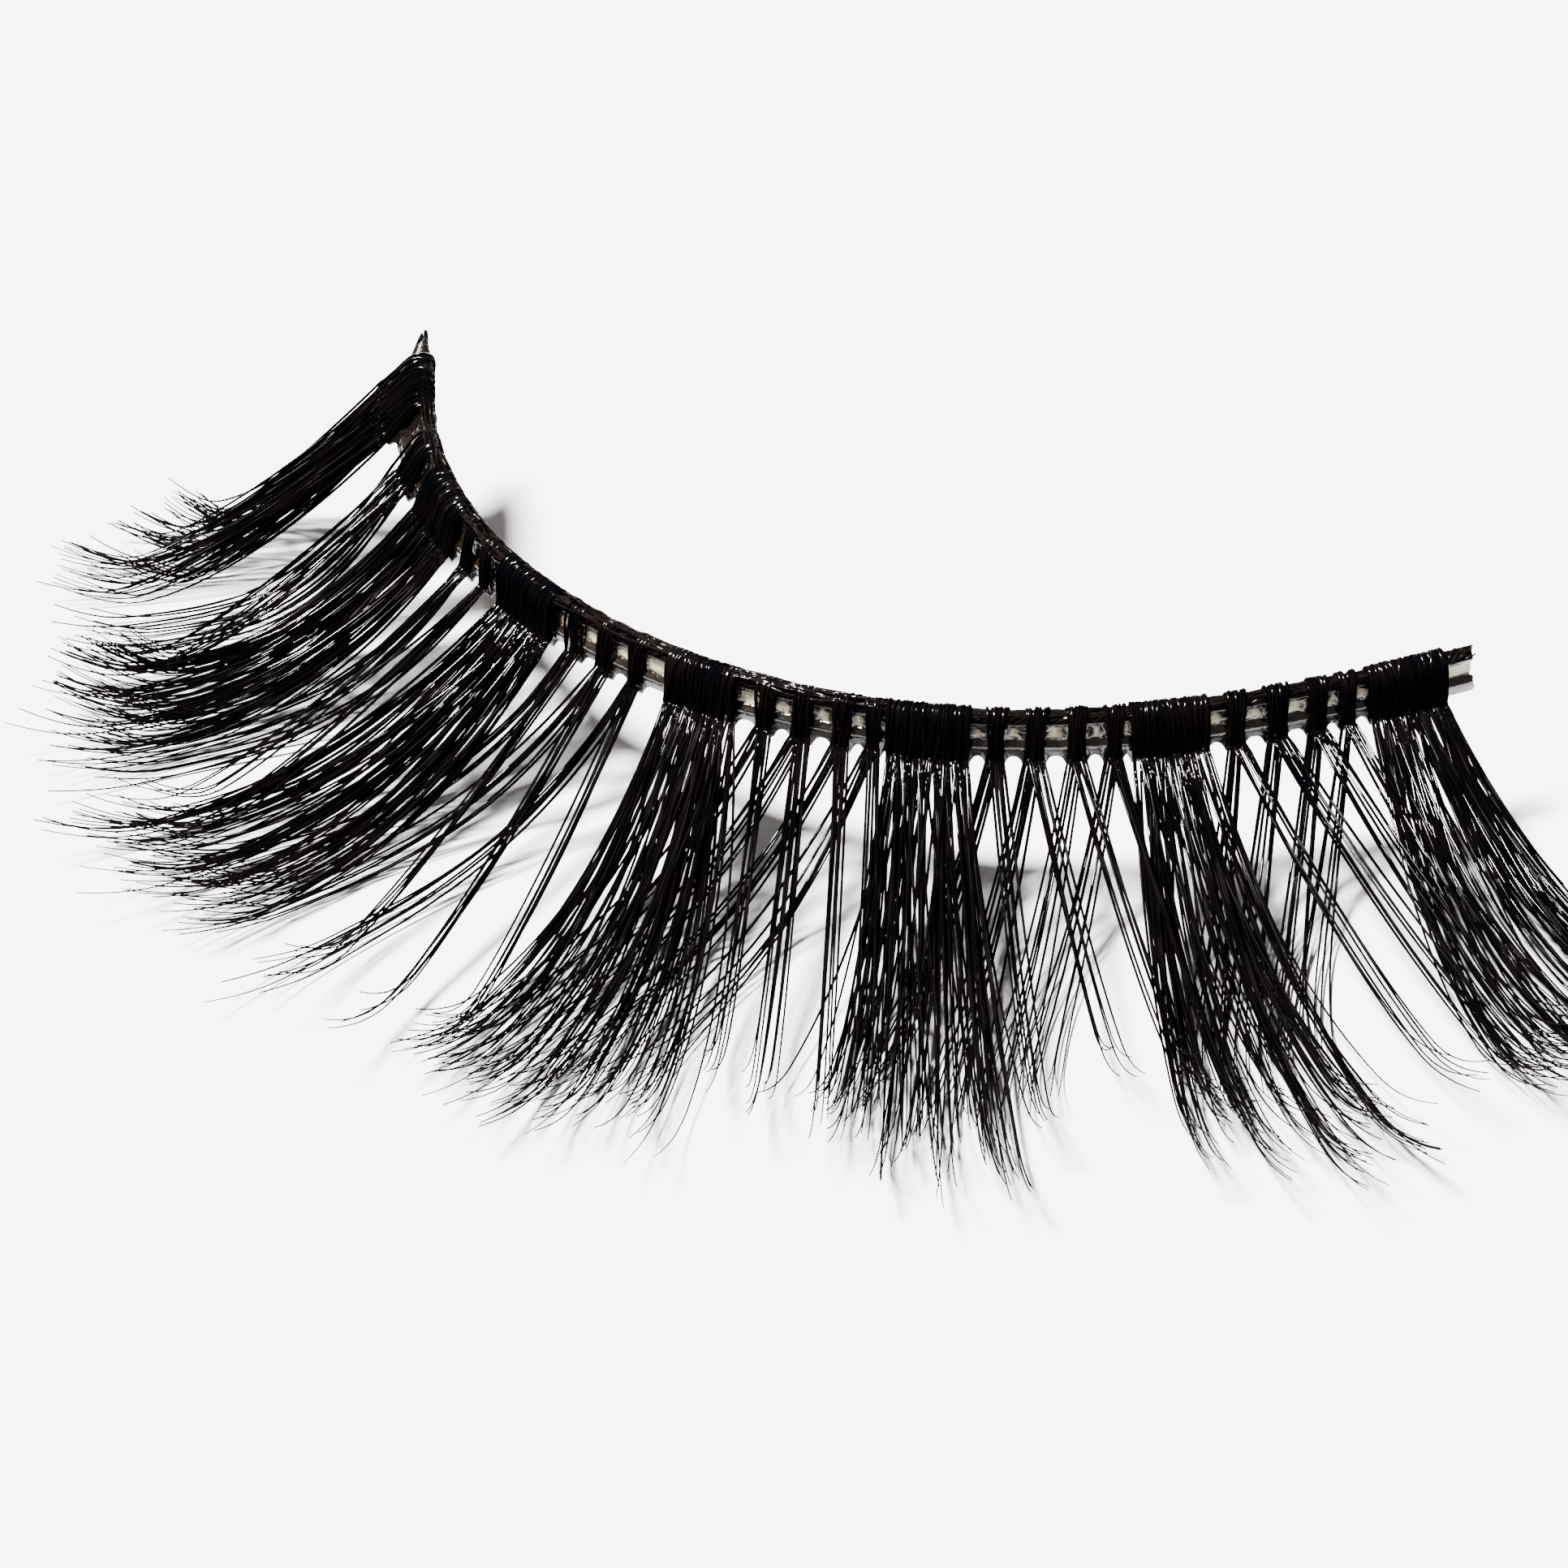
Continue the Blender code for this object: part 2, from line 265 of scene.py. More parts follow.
@dataclass
class Shell:
    """Closed surfaces: points in millimetres, faces with their normals out, and numbers for each point."""

    points: Array
    faces: list[list[int]]
    shades: dict[str, Array]

    @classmethod
    def tubes(
        cls, centres: Array, radii: Array, sideways: Array, sides: int, shades: dict[str, Array]
    ) -> "Shell":
        """Closed tubes round polylines.

        Each ring is centre + radius (cos a first + sin a second), where first is the sideways vector
        made square to the path and second is square to both, and a goes once round.

        Args:
            centres: Points, as tubes by rings by three.
            radii: Radii, as tubes by rings.
            sideways: A vector that no path runs along, or one for each tube, as tubes by one by three.
            sides: How many corners each ring has.
            shades: Numbers for each ring, by name.

        Returns:
            The tubes, with the height of each point's normal as up.
        """
        count, rings = radii.shape
        forward = unit(np.gradient(centres, axis=1))
        first = unit(sideways - forward * np.sum(sideways * forward, axis=-1, keepdims=True))
        second = np.cross(forward, first)
        angle = 2.0 * math.pi * np.arange(sides) / sides
        ring = np.cos(angle)[:, None] * first[:, :, None, :] + np.sin(angle)[:, None] * second[:, :, None, :]
        points = (centres[:, :, None, :] + radii[:, :, None, None] * ring).reshape(-1, 3)
        index = np.arange(count * rings * sides).reshape(count, rings, sides)
        turned = np.roll(index, -1, axis=2)
        quads = np.stack([index[:, :-1], turned[:, :-1], turned[:, 1:], index[:, 1:]], axis=-1)
        faces = quads.reshape(-1, 4).tolist()
        faces += index[:, 0, ::-1].tolist()
        faces += index[:, -1].tolist()
        numbers = {name: np.repeat(values.ravel(), sides) for name, values in shades.items()}
        return cls(points, faces, {**numbers, "up": ring[..., 2].ravel()})

    @classmethod
    def sheet(cls, middle: Array, half: Array, shades: dict[str, Array]) -> "Shell":
        """A closed sheet: a front and a back at half of its thickness from its middle, and a rim.

        Its front faces the side that (down the columns) x (along the rows) points to.

        Args:
            middle: Points, as rows by columns by three.
            half: Half of the thickness at those points.
            shades: Numbers for those points, by name.

        Returns:
            The sheet, with the height of each point's normal as up.
        """
        rows, columns = half.shape
        normal = unit(np.cross(np.gradient(middle, axis=1), np.gradient(middle, axis=0)))
        front = middle + normal * half[..., None]
        back = middle - normal * half[..., None]
        points = np.concatenate([front.reshape(-1, 3), back.reshape(-1, 3)])
        index = np.arange(rows * columns).reshape(rows, columns)
        cells = np.stack([index[:-1, :-1], index[:-1, 1:], index[1:, 1:], index[1:, :-1]], axis=-1)
        cells = cells.reshape(-1, 4)
        behind = cells[:, ::-1] + rows * columns
        rim = np.concatenate([index[:-1, 0], index[-1, :-1], index[:0:-1, -1], index[0, :0:-1]])
        after = np.roll(rim, -1)
        edge = np.stack([rim, after, after + rows * columns, rim + rows * columns], axis=-1)
        faces = np.concatenate([cells, behind, edge]).tolist()
        up = normal[..., 2].ravel()
        numbers = {name: np.tile(values.ravel(), 2) for name, values in shades.items()}
        return cls(points, faces, {**numbers, "up": np.concatenate([up, -up])})

    def joined(self, other: "Shell") -> "Shell":
        """Join two shells.

        Args:
            other: The other shell, with at least this one's numbers.

        Returns:
            Both as one, with the names of this one's numbers.
        """
        more = [(np.array(face) + len(self.points)).tolist() for face in other.faces]
        points = np.concatenate([self.points, other.points])
        shades = {name: np.concatenate([own, other.shades[name]]) for name, own in self.shades.items()}
        return Shell(points, self.faces + more, shades)

    def mesh(self, name: str) -> bpy.types.Mesh:
        """Make the shell's mesh.

        Args:
            name: The mesh's name.

        Returns:
            A smooth mesh in metres, with the numbers as attributes.
        """
        mesh = bpy.data.meshes.new(name)
        mesh.from_pydata((self.points * MM).tolist(), [], self.faces)
        for key, values in self.shades.items():
            mesh.attributes.new(key, "FLOAT", "POINT").data.foreach_set("value", values)
        mesh.shade_smooth()
        mesh.validate()
        return mesh


class Signal:
    """A shader value with ordinary arithmetic, each step of which adds one Math node."""

    def __init__(self, graph: "Graph", socket: Any) -> None:
        """Wrap an output socket, or a plain number, of this graph."""
        self.graph = graph
        self.socket = socket

    def _math(self, kind: str, *values: Any, clamp: bool = False) -> "Signal":
        """One Math node over these values.

        Args:
            kind: The node's operation.
            *values: Signals and numbers, in order.
            clamp: Whether the result is held between 0 and 1.

        Returns:
            The result.
        """
        node = self.graph.node("ShaderNodeMath", {"operation": kind, "use_clamp": clamp}, {})
        for socket, value in zip(node.inputs, values):
            self.graph.feed(socket, value)
        return Signal(self.graph, node.outputs[0])

    def __add__(self, other: Any) -> "Signal":
        """Sum."""
        return self._math("ADD", self, other)

    def __sub__(self, other: Any) -> "Signal":
        """Difference."""
        return self._math("SUBTRACT", self, other)

    def __rsub__(self, other: Any) -> "Signal":
        """Difference from a number on the left."""
        return self._math("SUBTRACT", other, self)

    def __mul__(self, other: Any) -> "Signal":
        """Product."""
        return self._math("MULTIPLY", self, other)

    __radd__ = __add__
    __rmul__ = __mul__

    def across(self, low: float, high: float) -> "Signal":
        """The value from low to high that this share of the way gives."""
        return low + (high - low) * self

    def ramp(self, low: float, high: float) -> "Signal":
        """The share of the way from low to high, held between 0 and 1."""
        return self._math("DIVIDE", self - low, high - low, clamp=True)


class Graph:
    """A material's node tree, with short ways to add nodes and to join them."""

    # A colour Mix node's sockets
    MIX_SHARE = 0
    MIX_COLOURS = (6, 7)
    MIX_RESULT = 2

    def __init__(self, name: str) -> None:
        """Start a material with its Principled shader and its object coordinates.

        Args:
            name: The material's name.
        """
        self.material = bpy.data.materials.new(name)
        self.material.use_nodes = True
        self.tree = self.material.node_tree
        self.shader = self.tree.nodes["Principled BSDF"]
        self.place = self.node("ShaderNodeTexCoord", {}, {}).outputs["Object"]

    def feed(self, socket: Any, value: Any) -> None:
        """Give a socket a value.

        Args:
            socket: The input socket.
            value: A signal, an output socket, or a plain value.
        """
        if isinstance(value, Signal):
            value = value.socket
        if isinstance(value, bpy.types.NodeSocket):
            self.tree.links.new(value, socket)
        else:
            socket.default_value = value

    def node(self, kind: str, settings: dict[str, Any], inputs: dict[str | int, Any]) -> Any:
        """Add any node.

        Args:
            kind: The node's type name.
            settings: Its properties.
            inputs: Values or links for its inputs, by name or number.

        Returns:
            The node.
        """
        node = self.tree.nodes.new(kind)
        for key, value in settings.items():
            setattr(node, key, value)
        for key, value in inputs.items():
            self.feed(node.inputs[key], value)
        return node

    def noise(self, size: float, detail: float = 2.0) -> Signal:
        """Noise whose features are about this size in millimetres."""
        inputs = {"Vector": self.place, "Scale": 1.0 / (size * MM), "Detail": detail}
        return Signal(self, self.node("ShaderNodeTexNoise", {}, inputs).outputs["Fac"])

    def streaks(self, along: Signal, across: Signal) -> Signal:
        """Noise over two signals, in place of the object's own coordinates.

        Args:
            along: The signal that the noise runs along, where one feature is about 1 long.
            across: The signal that tells its rows apart.

        Returns:
            The noise.
        """
        vector = self.node("ShaderNodeCombineXYZ", {}, {"X": along, "Y": across}).outputs["Vector"]
        made = self.node("ShaderNodeTexNoise", {}, {"Vector": vector, "Scale": 1.0, "Detail": 1.0})
        return Signal(self, made.outputs["Fac"])

    def attribute(self, name: str) -> Signal:
        """A number that the mesh's points carry under this name."""
        return Signal(self, self.node("ShaderNodeAttribute", {"attribute_name": name}, {}).outputs["Fac"])

    def blend(self, share: Signal, first: Any, second: Any) -> Any:
        """A colour between two others.

        Args:
            share: 0 for the first and 1 for the second.
            first: A colour or a colour socket.
            second: The other.

        Returns:
            The colour's output socket.
        """
        node = self.node("ShaderNodeMix", {"data_type": "RGBA"}, {self.MIX_SHARE: share})
        for socket, value in zip(self.MIX_COLOURS, (first, second)):
            self.feed(node.inputs[socket], (*value, 1.0) if isinstance(value, tuple) else value)
        return node.outputs[self.MIX_RESULT]

    def bump(self, height: Signal, depth: float, strength: float) -> None:
        """Rough the surface.

        Args:
            height: The relief, from 0 to 1.
            depth: How deep a relief of 1 is, in millimetres.
            strength: How much of it shows.
        """
        inputs = {"Height": height, "Distance": depth * MM, "Strength": strength}
        node = self.node("ShaderNodeBump", {}, inputs)
        self.feed(self.shader.inputs["Normal"], node.outputs["Normal"])

    def finish(self, **inputs: Any) -> Material:
        """Set the shader's sockets.

        Args:
            **inputs: Values by socket name, with underscores for spaces.

        Returns:
            The finished material.
        """
        for key, value in inputs.items():
            self.feed(self.shader.inputs[key.replace("_", " ")], value)
        return self.material


@dataclass(frozen=True)
class FibreFinish:
    """Glossy black synthetic fibre, a little brown and duller at its fine tip.

    Here and in the other finishes sizes are in millimetres. A span is where a mask starts and where
    it is full, a value's two ends, or a relief's depth and strength.
    """

    black: Colour = (0.0006, 0.0006, 0.0009)
    brown: Colour = (0.0018, 0.0010, 0.0011)
    patch_size: float = 1.1
    patches: Span = (0.42, 0.66)
    tip: Colour = (0.006, 0.0045, 0.005)
    tip_share: float = 0.7
    tip_part: Span = (0.72, 1.0)
    lit_side: Span = (0.4, 0.7)
    glint_repeats: Span = (7.0, 90.0)
    glints: Span = (0.52, 0.55)
    fading: Span = (0.5, 0.9)
    faded: Span = (1.0, 0.2)
    root_start: Span = (0.001, 0.006)
    root_end: Span = (0.02, 0.06)
    bead_size: float = 0.09
    beads: Span = (0.57, 0.63)
    swell_size: float = 0.45
    grain_size: float = 0.07
    grain: float = 0.03
    relief: Span = (0.06, 0.6)
    roughness: Span = (0.3, 0.5)
    coat_roughness: float = 0.12

    def material(self) -> Material:
        """Make the material.

        Returns:
            It, with brown patches, thin glints along single fibres, and wet beads at the roots.
        """
        graph = Graph("black_fibre")
        along = graph.attribute("along")
        patch = graph.noise(self.patch_size, 3.0).ramp(*self.patches)
        body = graph.blend(patch, self.black, self.brown)
        colour = graph.blend(along.ramp(*self.tip_part) * self.tip_share, body, self.tip)
        top = graph.attribute("up").ramp(*self.lit_side)
        lengthwise, fibrewise = self.glint_repeats
        streaks = graph.streaks(along * lengthwise, graph.attribute("lot") * fibrewise)
        glint = streaks.ramp(*self.glints) * top
        fading = along.ramp(*self.fading).across(*self.faded)
        root = along.ramp(*self.root_start) * (1.0 - along.ramp(*self.root_end))
        beads = graph.noise(self.bead_size, 1.0).ramp(*self.beads) * root
        swell = graph.noise(self.swell_size)
        graph.bump(swell + self.grain * graph.noise(self.grain_size), *self.relief)
        coat = glint * fading + beads
        return graph.finish(
            Base_Color=colour, Roughness=swell.across(*self.roughness), Coat_Weight=coat.ramp(0.0, 1.0),
            Coat_Roughness=self.coat_roughness, Specular_IOR_Level=0.0,
        )


@dataclass(frozen=True)
class ThreadFinish:
    """Brown-black thread soaked in clear glue."""

    dark: Colour = (0.0008, 0.0005, 0.0005)
    brown: Colour = (0.0028, 0.0014, 0.0011)
    patch_size: float = 0.4
    patches: Span = (0.42, 0.75)
    loose_browner: float = 0.12
    lump_size: float = 0.12
    lumps: Span = (0.52, 0.60)
    lit_side: Span = (0.2, 0.7)
    relief: Span = (0.06, 0.7)
    roughness: Span = (0.35, 0.6)
    coat_roughness: float = 0.12
    specular: float = 0.02

    def material(self) -> Material:
        """Make the material.

        Returns:
            It, brown where the yarn shows through and lumpy where the glue is thick.
        """
        graph = Graph("band_thread")
        patch = graph.noise(self.patch_size, 3.0)
        share = (patch + self.loose_browner * graph.attribute("loose")).ramp(*self.patches)
        colour = graph.blend(share, self.dark, self.brown)
        lumps = graph.noise(self.lump_size, 3.0)
        graph.bump(lumps, *self.relief)
        wet = lumps.ramp(*self.lumps) * graph.attribute("up").ramp(*self.lit_side)
        return graph.finish(
            Base_Color=colour, Roughness=patch.across(*self.roughness), Coat_Weight=wet,
            Coat_Roughness=self.coat_roughness, Specular_IOR_Level=self.specular,
        )


@dataclass(frozen=True)
class GlueFinish:
    """Clear dried glue: cream where it is thin and amber to brown at its thick rims."""

    rim: Colour = (0.003, 0.0018, 0.0012)
    amber: Colour = (0.012, 0.0085, 0.0055)
    cream: Colour = (0.27, 0.235, 0.165)
    streak_size: float = 0.13
    streaking: float = 0.35
    amber_part: Span = (0.0, 0.35)
    cream_part: Span = (0.36, 0.7)
    clear_part: Span = (0.4, 0.95)
    alpha: Span = (0.99, 0.95)
    ripple_size: float = 0.2
    relief: Span = (0.06, 0.5)
    roughness: Span = (0.14, 0.28)
    coat: Span = (0.5, 0.9)
    coat_roughness: float = 0.06
    refraction: float = 1.48

    def material(self) -> Material:
        """Make the material.

        Returns:
            It, clearest in the middle of each window, with faint streaks and ripples.
        """
        graph = Graph("dried_glue")
        thin = graph.attribute("thin")
        streak = graph.noise(self.streak_size, 3.0)
        clear = (thin + self.streaking * (streak - 0.5)).ramp(0.0, 1.0)
        body = graph.blend(clear.ramp(*self.amber_part), self.rim, self.amber)
        colour = graph.blend(clear.ramp(*self.cream_part), body, self.cream)
        graph.bump(graph.noise(self.ripple_size), *self.relief)
        return graph.finish(
            Base_Color=colour, Roughness=streak.across(*self.roughness),
            Coat_Weight=streak.across(*self.coat), Coat_Roughness=self.coat_roughness,
            Alpha=clear.ramp(*self.clear_part).across(*self.alpha), IOR=self.refraction,
        )


@dataclass(frozen=True)
class FloorFinish:
    """Matt white board."""

    white: Colour = (0.90, 0.90, 0.90)
    shade: Colour = (0.885, 0.885, 0.885)
    mottle_size: float = 6.0
    tooth_size: float = 0.3
    tooth: Span = (0.002, 0.2)
    roughness: Span = (0.9, 0.95)
    specular: float = 0.1

    def material(self) -> Material:
        """Make the material.

        Returns:
            It, with a faint mottle and a fine tooth.
        """
        graph = Graph("floor_board")
        mottle = graph.noise(self.mottle_size, 3.0)
        colour = graph.blend(mottle, self.white, self.shade)
        graph.bump(graph.noise(self.tooth_size), *self.tooth)
        rough = mottle.across(*self.roughness)
        return graph.finish(Base_Color=colour, Roughness=rough, Specular_IOR_Level=self.specular)


def place_piece(mesh: bpy.types.Mesh, material: Material, node: str) -> None:
    """Put a mesh in the scene in place of a node of the frame, and report it.

    Args:
        mesh: The mesh, which names the piece.
        material: Its material.
        node: The node that it replaces.
    """
    mesh.materials.append(material)
    piece = bpy.data.objects.new(mesh.name, mesh)
    bpy.context.scene.collection.objects.link(piece)
    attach(piece, "root")
    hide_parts(node)
    log.info("%s: %d faces", piece.name, len(mesh.polygons))


@dataclass
class Fibres:
    """A set of single fibres, as arrays with a row for each.

    Places are where the fibres leave the band, slant is how much further right they cross its top,
    depth is 0 next to the threads and 1 at the outside of the root, tips are plan points, and bends
    are radians that a fibre turns by from root to tip.
    """

    place: Array
    slant: Array
    depth: Array
    tip: Array
    bend: Array
    belly: Array
    steepness: Array
    tip_rise: Array
    radius: Array

    WAVE = 0.009
    WAVE_GROWS = 2.0
    TAPER_PART = (0.2, 1.0)
    TAPER_LOSS = 0.62
    TAPER_POWER = 1.2
    BEADS = 0.35
    BEAD_HOLLOWS = -0.2
    WET_AT = 0.02
    WET_LENGTH = 0.04

    # Round the upper thread and down past the lower one: outward, how that grows with depth, height,
    # and how that grows with depth
    WRAP = (
        (-0.165, -0.03, 4.20, 0.0),
        (-0.160, -0.03, 4.34, 0.0),
        (-0.090, -0.02, 4.43, 0.05),
        (0.030, 0.00, 4.45, 0.07),
        (0.130, 0.09, 4.39, 0.04),
        (0.180, 0.20, 4.22, 0.0),
        (0.180, 0.21, 3.85, 0.0),
        (0.180, 0.21, 3.52, 0.0),
        (0.180, 0.20, 3.36, 0.0),
    )
    ALONG = (0.012, 0.028, 0.05, 0.08, 0.12, 0.18, 0.26, 0.35, 0.45, 0.55, 0.64, 0.72, 0.80, 0.87, 0.94, 1.0)
    SIDES = 5

    def __len__(self) -> int:
        """How many fibres there are."""
        return len(self.place)

    @staticmethod
    def joined(parts: Sequence["Fibres"]) -> "Fibres":
        """Several sets as one."""
        names = [field.name for field in fields(Fibres)]
        return Fibres(*(np.concatenate([getattr(part, name) for part in parts]) for name in names))

    def heights(self, along: Array, root: Array) -> Array:
        """Heights of the fibres' undersides.

        Down from the root to the belly as (1 - u / belly place) to the steepness, and then up to the
        tip as the share past the belly to the curl's power.

        Args:
            along: Shares of the way to the tip, as one row.
            root: The roots' heights, one for each fibre.

        Returns:
            Heights, as fibres by shares.
        """
        belly = self.belly[:, None]
        before = (1.0 - within(along, (0.0, BELLY_AT))) ** self.steepness[:, None]
        after = within(along, (BELLY_AT, 1.0)) ** CURL_POWER
        return belly + (root[:, None] - belly) * before + self.tip_rise[:, None] * after

    def paths(self, rng: Rng) -> tuple[Array, Array, Array]:
        """The fibres' middle lines.

        After its wrap a fibre's plan is an arc whose chord joins its root to its tip: at share u it
        is u sinc(bend u / 2) of the chord away, turned by bend (u - 1) / 2.

        Args:
            rng: The seeded source of the small waves and beads.

        Returns:
            Points as fibres by rings by three, radii, and shares of the way to the tip.
        """
        wrap = np.array(self.WRAP)
        outward = wrap[:, 0] + wrap[:, 1] * self.depth[:, None]
        height = wrap[:, 2] + wrap[:, 3] * self.depth[:, None]
        places = self.place[:, None] + self.slant[:, None] * np.linspace(1.0, 0.0, len(wrap))
        root = BAND.point(places, outward, height)
        along = np.array(self.ALONG)
        chord = self.tip - root[:, -1, :2]
        half = self.bend[:, None] * along / 2.0
        reach = np.linalg.norm(chord, axis=1) / np.sinc(self.bend / 2.0 / math.pi)
        heading = np.arctan2(chord[:, 1], chord[:, 0])[:, None] - self.bend[:, None] / 2.0 + half
        away = reach[:, None] * along * np.sinc(half / math.pi)
        growth = np.minimum(along * self.WAVE_GROWS, 1.0)
        wave = self.WAVE * smooth_noise(rng, (len(self), len(along)), 5) * growth
        x = root[:, -1:, 0] + away * np.cos(heading) - wave * np.sin(heading)
        y = root[:, -1:, 1] + away * np.sin(heading) + wave * np.cos(heading)
        z = self.heights(along, root[:, -1, 2]) + self.radius[:, None]
        lash = np.stack([x, y, z], axis=-1)
        share = np.concatenate([np.zeros(len(wrap)), along])
        rings = np.concatenate([root, lash], axis=1)
        rows = np.concatenate([rings, np.broadcast_to(share, rings.shape[:2])[..., None]], axis=2)
        rows = cut_corners(rows)
        return rows[..., :3], self.widths(rows[..., 3], rng), rows[..., 3]

    def widths(self, share: Array, rng: Rng) -> Array:
        """Radii that are beaded with glue just below the band and taper to a fine tip.

        Args:
            share: Shares of the way to the tip, as fibres by rings.
            rng: The seeded source of the beads.

        Returns:
            Radii of the same shape.
        """
        taper = 1.0 - self.TAPER_LOSS * within(share, self.TAPER_PART) ** self.TAPER_POWER
        beads = np.clip(smooth_noise(rng, share.shape, 2), self.BEAD_HOLLOWS, 1.0)
        wet = np.exp(-(((share - self.WET_AT) / self.WET_LENGTH) ** 2))
        return self.radius[:, None] * taper * (1.0 + self.BEADS * beads * wet)

    def shell(self, rng: Rng) -> Shell:
        """All the fibres as closed tubes.

        Args:
            rng: The seeded source of small differences.

        Returns:
            The tubes, with along from 0 at a root to 1 at a tip and a lot of its own for each fibre.
        """
        centres, radii, share = self.paths(rng)
        lot = np.broadcast_to(rng.uniform(0.0, 1.0, (len(self), 1)), share.shape)
        shades = {"along": share, "lot": lot}
        return Shell.tubes(centres, radii, BAND.tangent(self.place)[:, None], self.SIDES, shades)


@dataclass(frozen=True)
class Cluster:
    """A dense cluster of fibres that gather into wisps, from its first, leftmost one to its last."""

    number: int
    place: float
    width: float
    angles: Span
    reaches: Span
    bend: float
    layer: Layer
    fibres: int

    RAGGED_REACH = (0.0, -0.8, 0.3, -0.3, 0.5, -0.6, 0.2)
    SEED = 100

    # How the fibres vary
    ROOT_OUT = 0.28
    ROOT_MIX = 0.2
    ROOT_PART = (0.02, 0.98)
    POINTS = 3
    SPLIT = 0.21
    TIP_SPREAD = 0.06
    POINT_LENGTHS = (0.86, 1.02)
    LENGTHS = (0.88, 1.02)
    STRAYS = 0.16
    STRAY_TURN = 3.0
    SHIFT = 0.12
    SLANT = 0.26
    RADII = (0.028, 0.036)

    # The glue-soaked wrap
    WRAP_ROWS = 33
    WRAP_OVERLAP = 0.06
    WRAP_HALF = 0.02
    WRAP_DEPTH = 0.58
    WRAP_RIDGE = 0.07
    WRAP_FOOT = (-3.6, -3.36)
    WRAP_FOOT_SHIFT = 0.05
    WRAP_LIFT = 0.04
    WRAP_RAGGED = 0.16

    def grow(self, rng: Rng) -> Fibres:
        """Choose the cluster's fibres.

        Each fibre aims at one of the three points of a wisp, from a root that may lie under its
        neighbour, so that fibres cross near the band and gather at the points. A few stray.

        Args:
            rng: The seeded source.

        Returns:
            The fibres.
        """
        count = self.fibres
        wisps = len(self.RAGGED_REACH)
        wisp = np.arange(count) % wisps
        middle = (wisp + 0.5) / wisps
        share = np.clip(middle + rng.normal(0.0, self.ROOT_MIX, count), *self.ROOT_PART)
        lead = BAND.point(self.place + (middle - 0.5) * self.width, self.ROOT_OUT, ROOT_BOTTOM)[:, :2]
        ends = wisp / (wisps - 1.0)
        _, straight_out = BAND.plan(self.place)
        angle = between(self.angles, ends)
        loose = rng.normal(0.0, self.STRAY_TURN, count) * (rng.uniform(size=count) < self.STRAYS)
        heading = straight_out + np.radians(angle + loose)
        reach = between(self.reaches, ends) + np.array(self.RAGGED_REACH)[wisp]
        target = lead + reach[:, None] * towards(heading)
        point = rng.integers(0, self.POINTS, count)
        aside = self.SPLIT * (point - (self.POINTS - 1.0) / 2.0)
        target = target + aside[:, None] * towards(heading + math.pi / 2)
        target = target + rng.normal(0.0, self.TIP_SPREAD, target.shape)
        kept = rng.uniform(*self.POINT_LENGTHS, (wisps, self.POINTS))[wisp, point]
        kept = kept * rng.uniform(*self.LENGTHS, count)
        place = self.place + (share - 0.5) * self.width
        start = BAND.point(place, self.ROOT_OUT, ROOT_BOTTOM)[:, :2]
        edge = self.width / 2.0
        over = place + rng.normal(self.SHIFT, self.SLANT, count)
        return Fibres(
            place=place,
            slant=np.clip(over, self.place - edge, self.place + edge) - place,
            depth=rng.uniform(0.0, 1.0, count),
            tip=start + (target - start) * kept[:, None],
            bend=np.radians(self.bend + rng.normal(0.0, 2.0, count)),
            belly=self.layer.belly + rng.uniform(0.0, 0.3, count),
            steepness=self.layer.steepness * rng.uniform(0.85, 1.15, count),
            tip_rise=self.layer.tip_rise * rng.uniform(0.7, 1.2, count),
            radius=rng.uniform(*self.RADII, count),
        )

    def wrap(self, rng: Rng) -> Shell:
        """The glue-soaked wrap that holds the roots: faintly ridged, with a ragged bottom edge.

        It goes the fibres' way round the upper thread, and about half of them cross outside it.

        Args:
            rng: The seeded source of the ridges.

        Returns:
            The wrap, as a sheet.
        """
        turns = cut_corners(np.array(Fibres.WRAP)[None])[0]
        across = np.linspace(-0.5, 0.5, self.WRAP_ROWS)[:, None]
        place = self.place + across * (self.width + self.WRAP_OVERLAP)
        ridges = smooth_noise(rng, (1, self.WRAP_ROWS), 2).T
        depth = self.WRAP_DEPTH + self.WRAP_RIDGE * ridges
        outward = turns[:, 0] + turns[:, 1] * depth
        foot = within(-turns[:, 2], self.WRAP_FOOT)
        ragged = self.WRAP_RAGGED * smooth_noise(rng, (1, self.WRAP_ROWS), 2).T
        height = turns[:, 2] + turns[:, 3] * depth - foot * (ragged - self.WRAP_LIFT)
        lot = np.broadcast_to((place - self.place) / self.width + 0.5, height.shape)
        middle = BAND.point(place - self.WRAP_FOOT_SHIFT * foot, outward, height)
        half = np.full_like(height, self.WRAP_HALF)
        return Shell.sheet(middle, half, {"along": np.zeros_like(height), "lot": lot})

    def build(self, material: Material) -> None:
        """Place the cluster's piece.

        Args:
            material: The fibres' material.
        """
        rng = np.random.default_rng(self.SEED + self.number)
        shell = self.grow(rng).shell(rng).joined(self.wrap(rng))
        mesh = shell.mesh(f"cluster_fibres_{self.number}")
        place_piece(mesh, material, f"dense_cluster_{self.number}")


CLUSTERS = (
    Cluster(1, -20.7, 2.1, (-6, 10), (5.2, 7.6), -4, LEFT_END, 92),
    Cluster(2, -16.2, 1.8, (-6, 7), (8.4, 9.6), -8, MIDDLE, 104),
    Cluster(3, -12.3, 1.85, (-8, 10), (11.8, 10.6), -12, MIDDLE, 104),
    Cluster(4, -7.2, 1.65, (3, 22), (13.2, 13.8), -12, MIDDLE, 104),
    Cluster(5, -2.05, 1.75, (1, 14), (12.4, 14), 0, MIDDLE, 104),
    Cluster(6, 3.1, 1.65, (-5, 10), (12.6, 13.8), 8, MIDDLE, 104),
    Cluster(7, 8.45, 1.75, (-4, 16), (12.4, 11.6), 14, RIGHT_END, 104),
)


